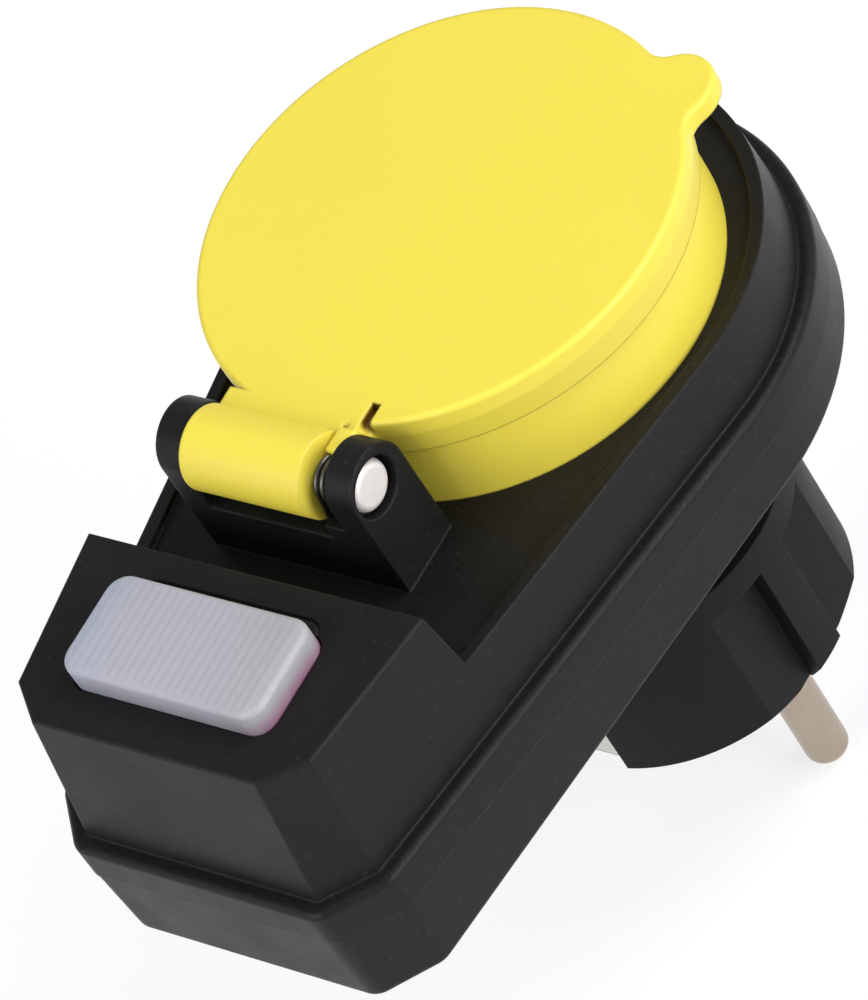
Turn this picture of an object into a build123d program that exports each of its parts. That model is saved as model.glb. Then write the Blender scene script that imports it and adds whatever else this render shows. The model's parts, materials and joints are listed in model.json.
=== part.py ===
from build123d import *
import os
from math import atan2, cos, pi, radians, sin, tan

# A splash-proof 16 A through adapter: a round plug behind, a lidded socket in
# front and a lit two-pole switch on the raised block beside it.
# Millimetres. The origin is the centre of the plug's end face, where the pins
# leave it. +Z runs out of the wall socket, +Y points away from the switch.

# Plug
pin_pitch = 19.0
pin_dia = 4.8
pin_length = 19.0
pin_tip_round = 1.6
pin_shank_dia = 4.0
pin_tail = 15.0
plug_dia = 37.2
plug_flat_width = 32.8
plug_flat_height = 18.1
plug_key_width = 4.2
plug_disc_height = 21.6
plug_edge = 1.7
neck_dia = 31.0
neck_height = 8.8
plug_base = 12.0
plug_bore_dia = 26.0
plug_flange_dia = 32.4
plug_flange = 2.0
plug_collar_wall = 2.0
earth_recess_width = 8.0
earth_recess_height = 13.4
earth_over = 34.0
earth_strip = 0.8
earth_strip_width = 5.0

# Housing plan: a round end, two tapering sides and a front with cut corners
socket_y = 1.7
end_offset = 2.0
end_radius = 29.0
side_taper = 8.8
front_length = 66.1
corner_half = 14.8
corner_length = 5.6
corner_round = 2.5

# Housing levels and walls
rear_depth = 9.8
skirt_depth = 4.6
wall_height = 7.0
rim_height = 0.8
rim_width = 1.9
block_height = 8.7
block_back = 38.9
block_back_lean = 0.7
wall_step = 1.6
side_lean = 1.0
front_lean = 2.6
block_corner_half = 13.5
block_corner_length = 3.6
shell = 2.2
rear_inset = 0.1
rear_wall = 2.2
rear_draft = 0.4
back_rise = 3.9
back_slope = 3.6
rear_shell = 2.0
block_edge = 0.4
flange_edge = 0.8
back_edge = 0.8

# Seal and screws between the shells
seal_width = 0.8
seal_depth = 0.9
screw_dia = 2.9
screw_head_dia = 5.4
screw_head_height = 1.8
screw_reach = 11.0
screw_cross = 3.2
screw_cross_width = 0.7
screw_cross_depth = 1.0
seal_edge = 0.5
post_dia = 3.0
post_half = 17.3
post_rise = 6.5
screw_boss_dia = 6.0
screw_pocket = 2.3
screw_pocket_wall = 1.2
screw_end_radius = 24.3
screw_end_angle = 52.0
screw_mid_half = 18.1
screw_mid_y = -30.5

# Socket insert
recess_dia = 39.5
recess_depth = 17.5
recess_flat_width = 33.8
recess_key_width = 5.2
collar_dia = 47.8
collar_height = 8.0
collar_neck_gap = 1.05
collar_neck_height = 2.7
cup_wall = 1.2
cup_floor = 2.2
cup_foot = 2.4
pin_hole_dia = 5.8
clip_slot_width = 6.0
clip_slot_depth = 1.6

# Contacts in the socket
sleeve_dia = 6.6
sleeve_bore = 4.7
sleeve_length = 13.0
sleeve_slit = 0.9
clip_width = 5.0
clip_thickness = 0.8
clip_length = 34.6
clip_height = 12.5
clip_bulge_depth = 1.0
carrier_thickness = 3.0
carrier_dia = 40.0
sleeve_rim_dia = 8.4
tab_width = 4.0
tab_proud = 0.2

# Strips between the plug, the switch and the socket
strip_thickness = 0.8
strip_width = 3.0
strip_in_width = 4.8
strip_back_length = 4.0
strip_out_rise = 1.3
strip_in_rise = 3.4

# Lid and hinge
lid_dia = 50.2
lid_skirt = 5.1
lid_draft = 0.45
lid_plate = 2.1
lid_skirt_wall = 1.4
lid_top_round = 0.5
tongue_gap = 1.3
gasket_thickness = 1.0
gasket_width = 2.6
hinge_out = 4.2
hinge_rise = 11.9
hinge_middle = -1.75
barrel_dia = 8.4
barrel_length = 14.4
ear_outer = 11.85
ear_thickness = 3.2
ear_width = 7.9
ear_offset = 0.5
ear_side_gap = 0.2
bridge_height = 6.8
bridge_thickness = 2.0
bridge_step_height = 8.6
bridge_step_gap = 0.3
hinge_pin_dia = 3.0
hinge_pin_head_dia = 5.2
hinge_pin_ring = 0.45
hinge_pin_recess = 0.35
hinge_pin_round = 0.8
pin_clearance = 0.05
tab_angle = 48.0
tab_dia = 8.4
tab_out = 4.1
tab_blend = 3.0
spring_wire_dia = 0.6
spring_coil_dia = 4.4
spring_turns = 2.25
spring_pitch = 0.75
spring_leg_dia = 0.58
spring_leg_length = 7.0
spring_leg_drop = 6.6
spring_foot_length = 3.2
lug_width = 1.8
lug_length = 2.6
lug_height = 2.5
notch_length = 4.6
notch_depth = 1.1
notch_gap = 0.25

# Switch
switch_y = -48.0
boot_length = 24.0
boot_width = 11.4
boot_height = 3.0
boot_wall = 0.9
boot_round = 2.2
boot_brim = 0.8
boot_edge = 1.0
boot_brim_thickness = 0.9
bezel_length = 22.0
bezel_width = 11.4
bezel_back = 1.6
bezel_round = 2.0
bezel_line = 0.35
bezel_depth = 0.25
switch_length = 24.0
switch_width = 11.0
switch_depth = 15.0
switch_floor = 2.8
switch_flange = 1.0
switch_wall = 1.2
rocker_length = 20.0
rocker_width = 7.8
rocker_rise = 5.4
rocker_drop = 4.0
rocker_pivot_drop = 2.0
rocker_lip = 1.6
rocker_step = 2.0
rocker_nose = 2.2
rocker_tilt = 6.5
trunnion_dia = 2.4
terminal_width = 4.8
terminal_thickness = 0.8
terminal_length = 6.5
terminal_pitch_x = 14.0
terminal_pitch_y = 5.6
lamp_dia = 3.6
lamp_length = 8.0

# Fits
fit_gap = 0.15
run_gap = 0.3

# Levels worked out from the values above
pin_mouth_dia = pin_dia + 2 * fit_gap
pin_mouth_depth = (pin_mouth_dia - pin_shank_dia) / 2
back_z = plug_disc_height + neck_height
part_z = back_z + rear_depth
ledge_z = part_z + skirt_depth
face_z = ledge_z + wall_height
rim_z = face_z + rim_height
block_z = face_z + block_height
floor_z = back_z + rear_wall
collar_top = face_z + collar_height + collar_neck_height
recess_floor = collar_top - recess_depth
cup_bottom = recess_floor - cup_floor
end_y = socket_y + end_offset
front_y = end_y - front_length
block_back_y = socket_y - block_back
hinge_y = socket_y - lid_dia / 2 - hinge_out
hinge_z = face_z + hinge_rise
far = 200.0
collar_neck_dia = lid_dia - 2 * (lid_draft + lid_skirt_wall + collar_neck_gap)
tab_reach = lid_dia / 2 + tab_out


def back_level(y):
    # The back is deeper at the switch end than at the round end
    return back_z + back_rise + (y - socket_y) * tan(radians(back_slope))


back_low = back_level(front_y)

# Shapes shared by several pieces


def side_x(radius, y):
    taper = radians(side_taper)
    return (radius + (y - end_y) * sin(taper)) / cos(taper)


def inset(profile, amount):
    # The same outline, moved inwards on every side
    radius, front, half, length = profile
    taper = radians(side_taper)
    turn = atan2(length, side_x(radius, front + length) - half)
    side_turn = pi / 2 - taper - turn
    grow = amount * (sin(taper) + tan(side_turn / 2) * cos(taper) - 1)
    return (radius - amount, front + amount, half - amount * tan(turn / 2), length + grow)


def outline(level, profile):
    radius, front, half, length = profile
    taper = radians(side_taper)
    side = (side_x(radius, front + length), front + length)
    touch = (radius * cos(taper), end_y - radius * sin(taper))
    with BuildSketch(Plane.XY.offset(level)) as shape:
        with BuildLine():
            Polyline((-half, front), (half, front), side, touch)
            ThreePointArc(touch, (0, end_y + radius), (-touch[0], touch[1]))
            Polyline((-touch[0], touch[1]), (-side[0], side[1]), (-half, front))
        make_face()
    return shape.sketch


def disc(level, dia, y=0.0, x=0.0):
    with BuildSketch(Plane.XY.offset(level)) as shape:
        with Locations((x, y)):
            Circle(dia / 2)
    return shape.sketch


def block(level, length, width, y=0.0, x=0.0, corner=0.0):
    with BuildSketch(Plane.XY.offset(level)) as shape:
        with Locations((x, y)):
            if corner:
                RectangleRounded(length, width, corner)
            else:
                Rectangle(length, width)
    return shape.sketch


flange_profile = (end_radius, front_y, corner_half, corner_length)
wall_foot = inset(flange_profile, wall_step)
wall_head = (
    wall_foot[0] - side_lean,
    wall_foot[1] + front_lean,
    block_corner_half,
    block_corner_length,
)
rear_profile = inset(flange_profile, rear_inset)
rear_foot = inset(flange_profile, rear_inset + rear_draft)

screw_end_x = screw_end_radius * cos(radians(screw_end_angle))
screw_end_y = socket_y + screw_end_radius * sin(radians(screw_end_angle))
screw_places = [
    (screw_end_x, screw_end_y),
    (-screw_end_x, screw_end_y),
    (screw_mid_half, screw_mid_y),
    (-screw_mid_half, screw_mid_y),
]
head_levels = [back_level(y) + screw_pocket for x, y in screw_places]
screws = [(x, y, level) for (x, y), level in zip(screw_places, head_levels)]
screw_end_z = max(head_levels) + screw_reach + run_gap
post_places = [(x, socket_y + y) for x in (-post_half, post_half) for y in (-post_rise, post_rise)]
terminal_places = [
    (x, switch_y + y)
    for x in (-terminal_pitch_x / 2, terminal_pitch_x / 2)
    for y in (-terminal_pitch_y / 2, terminal_pitch_y / 2)
]
pin_places = [(-pin_pitch / 2, 0), (pin_pitch / 2, 0)]
sleeve_places = [(-pin_pitch / 2, socket_y), (pin_pitch / 2, socket_y)]
cup_dia = recess_dia + 2 * cup_wall
under_face = face_z - shell
under_block = block_z - shell
ear_inner = ear_outer - ear_thickness
ear_y = hinge_y + ear_offset
barrel_left = hinge_middle - ear_inner + ear_side_gap
barrel_right = barrel_left + barrel_length
barrel_mid = (barrel_left + barrel_right) / 2
coil_height = spring_turns * spring_pitch
coil_right = (barrel_right + hinge_middle + ear_inner + coil_height) / 2
strap_top = cup_bottom
strap_low = strap_top - clip_thickness
carrier_low = strap_low - carrier_thickness
strip_low = floor_z + plug_flange + strip_out_rise
strip_in_z = floor_z + strip_in_rise


# Front housing: the shell with its rim, ledge, switch block and hinge ears
with BuildPart() as front_hollow:
    foot = outline(part_z, inset(wall_foot, shell))
    loft([foot, outline(under_block, inset(wall_head, shell))], ruled=True)
    with BuildSketch(Plane.YZ):
        with BuildLine():
            Polyline(
                (block_back_y - shell, under_face),
                (block_back_y - shell - block_back_lean, far),
                (far, far),
                (far, under_face),
                close=True,
            )
        make_face()
    extrude(amount=far, both=True, mode=Mode.SUBTRACT)
    extrude(outline(part_z, inset(flange_profile, shell)), amount=skirt_depth - shell)

with BuildPart() as flange:
    extrude(outline(part_z, flange_profile), amount=skirt_depth)
    fillet(flange.edges().filter_by(Axis.Z).sort_by(Axis.Y)[:4], corner_round)
    fillet(flange.edges().group_by(Axis.Z)[-1], flange_edge)

with BuildPart() as front_housing:
    loft([outline(ledge_z - flange_edge, wall_foot), outline(block_z, wall_head)], ruled=True)
    fillet(front_housing.edges().group_by(Axis.Z)[-1], block_edge)
    # Everything above the rim goes, apart from the switch block
    with BuildSketch(Plane.YZ):
        with BuildLine():
            Polyline(
                (block_back_y, rim_z),
                (block_back_y - block_back_lean, block_z + rim_height),
                (far, block_z + rim_height),
                (far, rim_z),
                close=True,
            )
        make_face()
    extrude(amount=far, both=True, mode=Mode.SUBTRACT)
    # The main face lies a little below its rim
    with BuildSketch(Plane.XY.offset(face_z)):
        add(outline(0, inset(wall_foot, rim_width)))
        with Locations((0, block_back_y)):
            Rectangle(far, far, align=(Align.CENTER, Align.MAX), mode=Mode.SUBTRACT)
    extrude(amount=rim_height, mode=Mode.SUBTRACT)
    add(flange.part)
    add(front_hollow.part, mode=Mode.SUBTRACT)
    # Bosses for the four screws
    for x, y in screw_places:
        extrude(disc(part_z, screw_boss_dia, y, x), amount=under_face - part_z)
    for x, y in screw_places:
        extrude(disc(part_z, screw_dia, y, x), amount=screw_end_z - part_z, mode=Mode.SUBTRACT)
    extrude(disc(part_z, cup_dia + 2 * fit_gap, socket_y), amount=far, mode=Mode.SUBTRACT)
    # The window that the switch boot comes up through
    boot_gap = 2 * fit_gap
    window = (boot_length + boot_gap, boot_width + boot_gap)
    extrude(block(under_block - shell, *window, switch_y, 0, boot_round), amount=far, mode=Mode.SUBTRACT)
    # The fine line of the bezel, which shows behind the boot
    with BuildSketch(Plane.XY.offset(block_z)):
        bezel_y = switch_y + bezel_back
        inner = (bezel_length - 2 * bezel_line, bezel_width - 2 * bezel_line)
        add(block(0, bezel_length, bezel_width, bezel_y, 0, bezel_round))
        add(block(0, *inner, bezel_y, 0, bezel_round - bezel_line), mode=Mode.SUBTRACT)
    extrude(amount=-bezel_depth, mode=Mode.SUBTRACT)
    # Two hinge ears with a low bridge between them
    for side in (-1, 1):
        with BuildSketch(Plane.YZ.offset(hinge_middle + side * (ear_outer - ear_thickness / 2))):
            with Locations((ear_y, hinge_z)):
                Circle(ear_width / 2)
            with Locations((ear_y, face_z + hinge_rise / 2)):
                Rectangle(ear_width, hinge_rise)
        extrude(amount=ear_thickness / 2, both=True)
    bridge_y = ear_y - ear_width / 2 + bridge_thickness / 2
    extrude(block(face_z, 2 * ear_inner, bridge_thickness, bridge_y, hinge_middle), amount=bridge_height)
    # The bridge steps up beside the barrel, where the spring's foot stands
    step_left = barrel_right + bridge_step_gap
    step_length = hinge_middle + ear_inner - step_left
    step_middle = step_left + step_length / 2
    extrude(block(face_z, step_length, bridge_thickness, bridge_y, step_middle), amount=bridge_step_height)
    # Pin holes, right through on the side that shows the pin's head
    with BuildSketch(Plane.YZ.offset(hinge_middle + ear_outer)):
        with Locations((hinge_y, hinge_z)):
            Circle(hinge_pin_head_dia / 2 + hinge_pin_ring)
    extrude(amount=-(ear_thickness / 2), mode=Mode.SUBTRACT)
    with BuildSketch(Plane.YZ.offset(hinge_middle + ear_outer)):
        with Locations((hinge_y, hinge_z)):
            Circle(hinge_pin_dia / 2)
    extrude(amount=-(2 * ear_outer - ear_thickness / 2), mode=Mode.SUBTRACT)


# Rear housing: the back shell, deeper at the switch end, with bosses, posts and
# the round collar that the plug's inner flange stands in
def above_back(rise):
    # The region over the sloping back, moved up by the rise
    with BuildSketch(Plane.YZ) as region:
        with BuildLine():
            Polyline(
                (-far, back_level(-far) + rise),
                (far, back_level(far) + rise),
                (far, far),
                (-far, far),
                close=True,
            )
        make_face()
    return region.sketch


with BuildPart() as rear_hollow:
    extrude(outline(back_low, inset(rear_profile, rear_shell + rear_draft)), amount=part_z - back_low)
    extrude(above_back(rear_wall), amount=far, both=True, mode=Mode.INTERSECT)

with BuildPart() as rear_housing:
    loft([outline(back_low, rear_foot), outline(part_z, rear_profile)], ruled=True)
    corners = rear_housing.edges().filter_by(lambda edge: edge.bounding_box().size.Z > rear_depth / 2)
    fillet(corners.sort_by(Axis.Y)[:4], corner_round)
    extrude(above_back(0), amount=far, both=True, mode=Mode.INTERSECT)
    fillet(rear_housing.faces().sort_by(Axis.Z)[0].edges(), back_edge)
    add(rear_hollow.part, mode=Mode.SUBTRACT)
    for x, y, level in screws:
        boss_low = level - screw_pocket + rear_wall / 2
        boss_dia = screw_head_dia + 2 * (fit_gap + screw_pocket_wall)
        extrude(disc(boss_low, boss_dia, y, x), amount=part_z - boss_low)
    for x, y in post_places:
        post_low = back_level(y) + rear_wall / 2
        extrude(disc(post_low, post_dia, y, x), amount=carrier_low - post_low)
    extrude(disc(back_z, plug_flange_dia + 2 * plug_collar_wall), amount=floor_z + plug_flange - back_z)
    extrude(disc(back_z, neck_dia), amount=far, mode=Mode.SUBTRACT)
    extrude(disc(floor_z, plug_flange_dia + 2 * fit_gap), amount=far, mode=Mode.SUBTRACT)
    for x, y, level in screws:
        pocket = disc(back_low, screw_head_dia + 2 * fit_gap, y, x)
        extrude(pocket, amount=level - back_low, mode=Mode.SUBTRACT)
        extrude(disc(back_low, screw_dia + 2 * fit_gap, y, x), amount=far, mode=Mode.SUBTRACT)
    with BuildSketch(Plane.XY.offset(part_z)):
        add(outline(0, inset(rear_profile, seal_edge)))
        add(outline(0, inset(rear_profile, seal_edge + seal_width)), mode=Mode.SUBTRACT)
    extrude(amount=-seal_depth, mode=Mode.SUBTRACT)


with BuildPart() as housing_seal:
    with BuildSketch(Plane.XY.offset(part_z)):
        add(outline(0, inset(rear_profile, seal_edge)))
        add(outline(0, inset(rear_profile, seal_edge + seal_width)), mode=Mode.SUBTRACT)
    extrude(amount=-seal_depth)


with BuildPart() as housing_screws:
    for x, y, level in screws:
        head_low = level - screw_head_height
        extrude(disc(level, screw_head_dia, y, x), amount=-screw_head_height)
        extrude(disc(level, screw_dia, y, x), amount=screw_reach)
        for slot in ((screw_cross, screw_cross_width), (screw_cross_width, screw_cross)):
            extrude(block(head_low, *slot, y, x), amount=screw_cross_depth, mode=Mode.SUBTRACT)


# Plug: a round body with side flats and keys, a neck and an inner flange
with BuildPart() as plug_body:
    extrude(disc(0, plug_dia), amount=plug_disc_height)
    chamfer(plug_body.faces().sort_by(Axis.Z)[0].edges(), plug_edge)
    extrude(disc(plug_disc_height, neck_dia), amount=neck_height + rear_wall)
    extrude(disc(floor_z, plug_flange_dia), amount=plug_flange)
    for side in (-1, 1):
        for end in (-1, 1):
            flat_width = plug_dia
            middle = end * (plug_key_width / 2 + flat_width / 2)
            depth = plug_dia / 2
            x = side * (plug_flat_width / 2 + depth / 2)
            extrude(block(0, depth, flat_width, middle, x), amount=plug_flat_height, mode=Mode.SUBTRACT)
    extrude(disc(plug_base, plug_bore_dia), amount=far, mode=Mode.SUBTRACT)
    for x, y in pin_places:
        extrude(disc(0, pin_shank_dia, y, x), amount=plug_base, mode=Mode.SUBTRACT)
        with Locations((x, y, pin_mouth_depth / 2)):
            Cone(pin_mouth_dia / 2, pin_shank_dia / 2, pin_mouth_depth, mode=Mode.SUBTRACT)
    # Pockets for the side earths, and the slots their strap goes in through
    for side in (-1, 1):
        y = side * (earth_over / 2 - earth_strip + plug_dia / 2)
        extrude(block(0, earth_recess_width, plug_dia, y), amount=earth_recess_height, mode=Mode.SUBTRACT)
    strap_slot = block(plug_base, earth_strip_width, earth_over - earth_strip)
    extrude(strap_slot, amount=earth_strip, mode=Mode.SUBTRACT)


def plug_pin(x):
    with BuildPart() as pin:
        extrude(disc(-pin_length, pin_dia, 0, x), amount=pin_length)
        fillet(pin.edges().group_by(Axis.Z)[0], pin_tip_round)
        extrude(disc(0, pin_shank_dia, 0, x), amount=pin_tail)
    return pin


neutral_pin = plug_pin(-pin_pitch / 2)
live_pin = plug_pin(pin_pitch / 2)


with BuildPart() as plug_earth:
    extrude(block(plug_base, earth_strip_width, earth_over), amount=earth_strip)
    for side in (-1, 1):
        y = side * (earth_over - earth_strip) / 2
        extrude(block(plug_edge, earth_strip_width, earth_strip, y), amount=plug_base - plug_edge)


# Socket insert: the collar above the main face and the recess cup below it
with BuildPart() as socket_insert:
    extrude(disc(face_z, collar_dia, socket_y), amount=collar_height)
    extrude(disc(face_z, collar_neck_dia, socket_y), amount=collar_top - face_z)
    extrude(disc(strap_low, cup_dia, socket_y), amount=face_z - strap_low)
    with BuildSketch(Plane.XY.offset(recess_floor)):
        with Locations((0, socket_y)):
            Circle(recess_dia / 2)
            Rectangle(recess_flat_width, recess_dia, mode=Mode.INTERSECT)
            Rectangle(recess_dia, recess_key_width)
            Circle(recess_dia / 2, mode=Mode.INTERSECT)
    extrude(amount=recess_depth, mode=Mode.SUBTRACT)
    extrude(disc(strap_low, cup_dia - 2 * cup_foot, socket_y), amount=clip_thickness, mode=Mode.SUBTRACT)
    for x, y in sleeve_places:
        extrude(disc(cup_bottom, pin_hole_dia, y, x), amount=cup_floor, mode=Mode.SUBTRACT)
    for side in (-1, 1):
        y = socket_y + side * (clip_length / 2 - clip_thickness / 2)
        extrude(block(cup_bottom, clip_slot_width, clip_slot_depth, y), amount=cup_floor, mode=Mode.SUBTRACT)


# Socket contacts
def sleeve(x):
    side = 1 if x > 0 else -1
    with BuildPart() as contact:
        low = strap_top - sleeve_length
        extrude(disc(low, sleeve_dia, socket_y, x), amount=sleeve_length)
        extrude(disc(strap_low, sleeve_rim_dia, socket_y, x), amount=clip_thickness)
        tab_x = x + side * (sleeve_dia / 2 - strip_thickness / 2 + tab_proud)
        extrude(block(strip_low, strip_thickness, tab_width, socket_y, tab_x), amount=strip_width)
        extrude(disc(low, sleeve_bore, socket_y, x), amount=sleeve_length, mode=Mode.SUBTRACT)
        slit_height = sleeve_length - carrier_thickness - 2 * clip_thickness
        slit_y = socket_y - sleeve_dia / 2
        extrude(block(low, sleeve_slit, sleeve_dia, slit_y, x), amount=slit_height, mode=Mode.SUBTRACT)
    return contact


neutral_sleeve = sleeve(-pin_pitch / 2)
live_sleeve = sleeve(pin_pitch / 2)


with BuildPart() as earth_clip:
    extrude(block(strap_low, clip_width, clip_length, socket_y), amount=clip_thickness)
    for side in (-1, 1):
        outer = side * clip_length / 2
        inner = side * (clip_length / 2 - clip_thickness)
        bulge = side * clip_bulge_depth
        low = strap_top
        high = recess_floor + clip_height
        mid = (low + 2 * high) / 3
        with BuildSketch(Plane.YZ):
            with BuildLine():
                Polyline(
                    (socket_y + outer, low),
                    (socket_y + outer, recess_floor),
                    (socket_y + outer - bulge, mid),
                    (socket_y + outer, high),
                    (socket_y + inner, high),
                    (socket_y + inner - bulge, mid),
                    (socket_y + inner, recess_floor),
                    (socket_y + inner, low),
                    close=True,
                )
            make_face()
        extrude(amount=clip_width / 2, both=True)


with BuildPart() as contact_carrier:
    extrude(disc(carrier_low, carrier_dia, socket_y), amount=carrier_thickness)
    for x, y in sleeve_places:
        hole = disc(carrier_low, sleeve_dia + 2 * fit_gap, y, x)
        extrude(hole, amount=carrier_thickness, mode=Mode.SUBTRACT)
    link_slot = (clip_width + 2 * fit_gap, clip_thickness + 2 * fit_gap)
    extrude(block(carrier_low, *link_slot), amount=carrier_thickness, mode=Mode.SUBTRACT)


with BuildPart() as earth_link:
    low = plug_base + earth_strip
    extrude(block(low, clip_width, clip_thickness), amount=strap_low - low)


# Conductors between the plug, the switch and the socket
def strip_in(side):
    x = side * pin_pitch / 2
    top = strip_in_z + strip_thickness
    with BuildPart() as strip:
        foot_y = strip_thickness - strip_back_length / 2
        extrude(block(pin_tail, strip_in_width, 2 * strip_back_length, foot_y, x), amount=strip_thickness)
        riser = block(pin_tail, strip_in_width, strip_thickness, -strip_back_length, x)
        extrude(riser, amount=top - pin_tail)
        end = switch_y + terminal_pitch_y / 2 + terminal_thickness / 2
        length = -strip_back_length - end
        middle = (end - strip_back_length) / 2
        extrude(block(strip_in_z, strip_in_width, length, middle, x), amount=strip_thickness)
    return strip


def strip_out(side):
    inner = pin_pitch / 2 + sleeve_dia / 2 + tab_proud
    x = side * (inner + strip_thickness / 2)
    end = switch_y - terminal_pitch_y / 2 - terminal_thickness / 2
    start = socket_y + tab_width / 2
    blade = terminal_pitch_x / 2 + terminal_width / 2
    reach = inner + strip_thickness - blade
    with BuildPart() as strip:
        extrude(block(strip_low, strip_thickness, start - end, (start + end) / 2, x), amount=strip_width)
        bend = (end + terminal_thickness / 2, side * (blade + reach / 2))
        extrude(block(strip_low, reach, terminal_thickness, *bend), amount=strip_width)
    return strip


neutral_in_strip = strip_in(-1)
live_in_strip = strip_in(1)
neutral_out_strip = strip_out(-1)
live_out_strip = strip_out(1)


# Lid: a flanged disc with a finger tab and the hinge barrel
lid_top = collar_top + gasket_thickness + lid_plate
skirt_low = lid_top - lid_skirt
tab_centre = tab_reach - tab_dia / 2
tab_middle = (tab_centre * cos(radians(tab_angle)), socket_y + tab_centre * sin(radians(tab_angle)))

with BuildPart() as lid:
    # Top plate with its finger tab
    with BuildSketch(Plane.XY.offset(lid_top)) as lid_plan:
        with Locations((0, socket_y)):
            Circle(lid_dia / 2)
        with Locations(tab_middle):
            Circle(tab_dia / 2)
        fillet(lid_plan.vertices().sort_by_distance((*tab_middle, 0))[:2], tab_blend)
    extrude(amount=-lid_plate)
    fillet(lid.edges().group_by(Axis.Z)[-1], lid_top_round)
    # Skirt, with a little draft
    with BuildSketch(Plane((0, socket_y, 0), x_dir=(0, 1, 0), z_dir=(1, 0, 0))):
        with BuildLine():
            Polyline(
                (lid_dia / 2, lid_top - lid_plate),
                (lid_dia / 2 - lid_draft, skirt_low),
                (lid_dia / 2 - lid_draft - lid_skirt_wall, skirt_low),
                (lid_dia / 2 - lid_draft - lid_skirt_wall, lid_top - lid_plate),
                close=True,
            )
        make_face()
    revolve(axis=Axis((0, socket_y, 0), (0, 0, 1)))
    # Barrel, and the tongue that joins it to the disc
    tongue_end = socket_y - collar_neck_dia / 2 - tongue_gap
    with BuildSketch(Plane.XY.offset(skirt_low)):
        with Locations((barrel_mid, (hinge_y + tongue_end) / 2)):
            Rectangle(barrel_length, tongue_end - hinge_y)
    extrude(amount=lid_top - skirt_low)
    with BuildSketch(Plane.YZ.offset(barrel_left)):
        with Locations((hinge_y, hinge_z)):
            Circle(barrel_dia / 2)
    extrude(amount=barrel_length)
    # Lug beside the barrel, and the notch in it and in the rim for the spring's leg
    lug_left = hinge_middle + ear_inner - ear_side_gap - lug_width
    lug_back = socket_y - (lid_dia / 2 - lid_skirt_wall)
    lug_middle = (lug_back - lug_length / 2, lug_left + lug_width / 2)
    extrude(block(lid_top - lug_height, lug_width, lug_length, *lug_middle), amount=lug_height)
    notch_width = spring_wire_dia + 2 * notch_gap
    notch_middle = lug_back - lug_length + notch_length / 2
    notch = block(lid_top - notch_depth, notch_width, notch_length, notch_middle, coil_right)
    extrude(notch, amount=far, mode=Mode.SUBTRACT)
    with BuildSketch(Plane.YZ.offset(barrel_left)):
        with Locations((hinge_y, hinge_z)):
            Circle(hinge_pin_dia / 2 + pin_clearance)
    extrude(amount=barrel_length, mode=Mode.SUBTRACT)


with BuildPart() as lid_gasket:
    with BuildSketch(Plane.XY.offset(collar_top)):
        with Locations((0, socket_y)):
            Circle(collar_neck_dia / 2)
            Circle(collar_neck_dia / 2 - gasket_width, mode=Mode.SUBTRACT)
    extrude(amount=gasket_thickness)


with BuildPart() as hinge_pin:
    with BuildSketch(Plane.YZ.offset(hinge_middle - ear_outer + ear_thickness / 2)):
        with Locations((hinge_y, hinge_z)):
            Circle(hinge_pin_dia / 2)
    extrude(amount=2 * ear_outer - ear_thickness / 2 - hinge_pin_recess)
    with BuildSketch(Plane.YZ.offset(hinge_middle + ear_outer - ear_thickness / 2)):
        with Locations((hinge_y, hinge_z)):
            Circle(hinge_pin_head_dia / 2)
    extrude(amount=ear_thickness / 2 - hinge_pin_recess)
    fillet(hinge_pin.edges().group_by(Axis.X)[-1], hinge_pin_round)


# Torsion spring round the hinge pin: its leg lies in the lid's notch, its foot points at the bridge's step
coil_radius = spring_coil_dia / 2
leg_root = spring_wire_dia / 4

with BuildPart() as coil:
    with BuildLine() as coil_line:
        Helix(spring_pitch, coil_height, coil_radius, lefthand=True)
    with BuildSketch(Plane(coil_line.line @ 0, z_dir=coil_line.line % 0)):
        Circle(spring_wire_dia / 2)
    sweep(path=coil_line.line, is_frenet=True)
    with BuildSketch(Plane((coil_radius, -leg_root, 0), z_dir=(0, 1, 0))):
        Circle(spring_leg_dia / 2)
    extrude(amount=leg_root + spring_leg_length)
    with BuildSketch(Plane((leg_root, -coil_radius, coil_height), z_dir=(-1, 0, 0))):
        Circle(spring_leg_dia / 2)
    extrude(amount=leg_root + spring_foot_length)

leg_drop = radians(spring_leg_drop)
coil_place = Plane((coil_right, hinge_y, hinge_z), x_dir=(0, sin(leg_drop), cos(leg_drop)), z_dir=(-1, 0, 0))
with BuildPart() as lid_spring:
    add(coil_place.location * coil.part)


# Switch: boot, frame, rocker, lamp and blades
boot_low = under_block - boot_brim_thickness
frame_top = boot_low
frame_low = frame_top - switch_flange - switch_depth
pivot_z = frame_top - rocker_pivot_drop
boot_top = block_z + boot_height
brim_size = (boot_length + 2 * boot_brim, boot_width + 2 * boot_brim)

with BuildPart() as switch_boot:
    extrude(block(boot_low, boot_length, boot_width, switch_y, 0, boot_round), amount=boot_top - boot_low)
    fillet(switch_boot.edges().group_by(Axis.Z)[-1], boot_edge)
    extrude(block(boot_low, *brim_size, switch_y, 0, boot_round + boot_brim), amount=boot_brim_thickness)
    inner = (boot_length - 2 * boot_wall, boot_width - 2 * boot_wall)
    inner_height = boot_top - boot_wall - boot_low
    hollow = block(boot_low, *inner, switch_y, 0, boot_round - boot_wall)
    extrude(hollow, amount=inner_height, mode=Mode.SUBTRACT)


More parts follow.
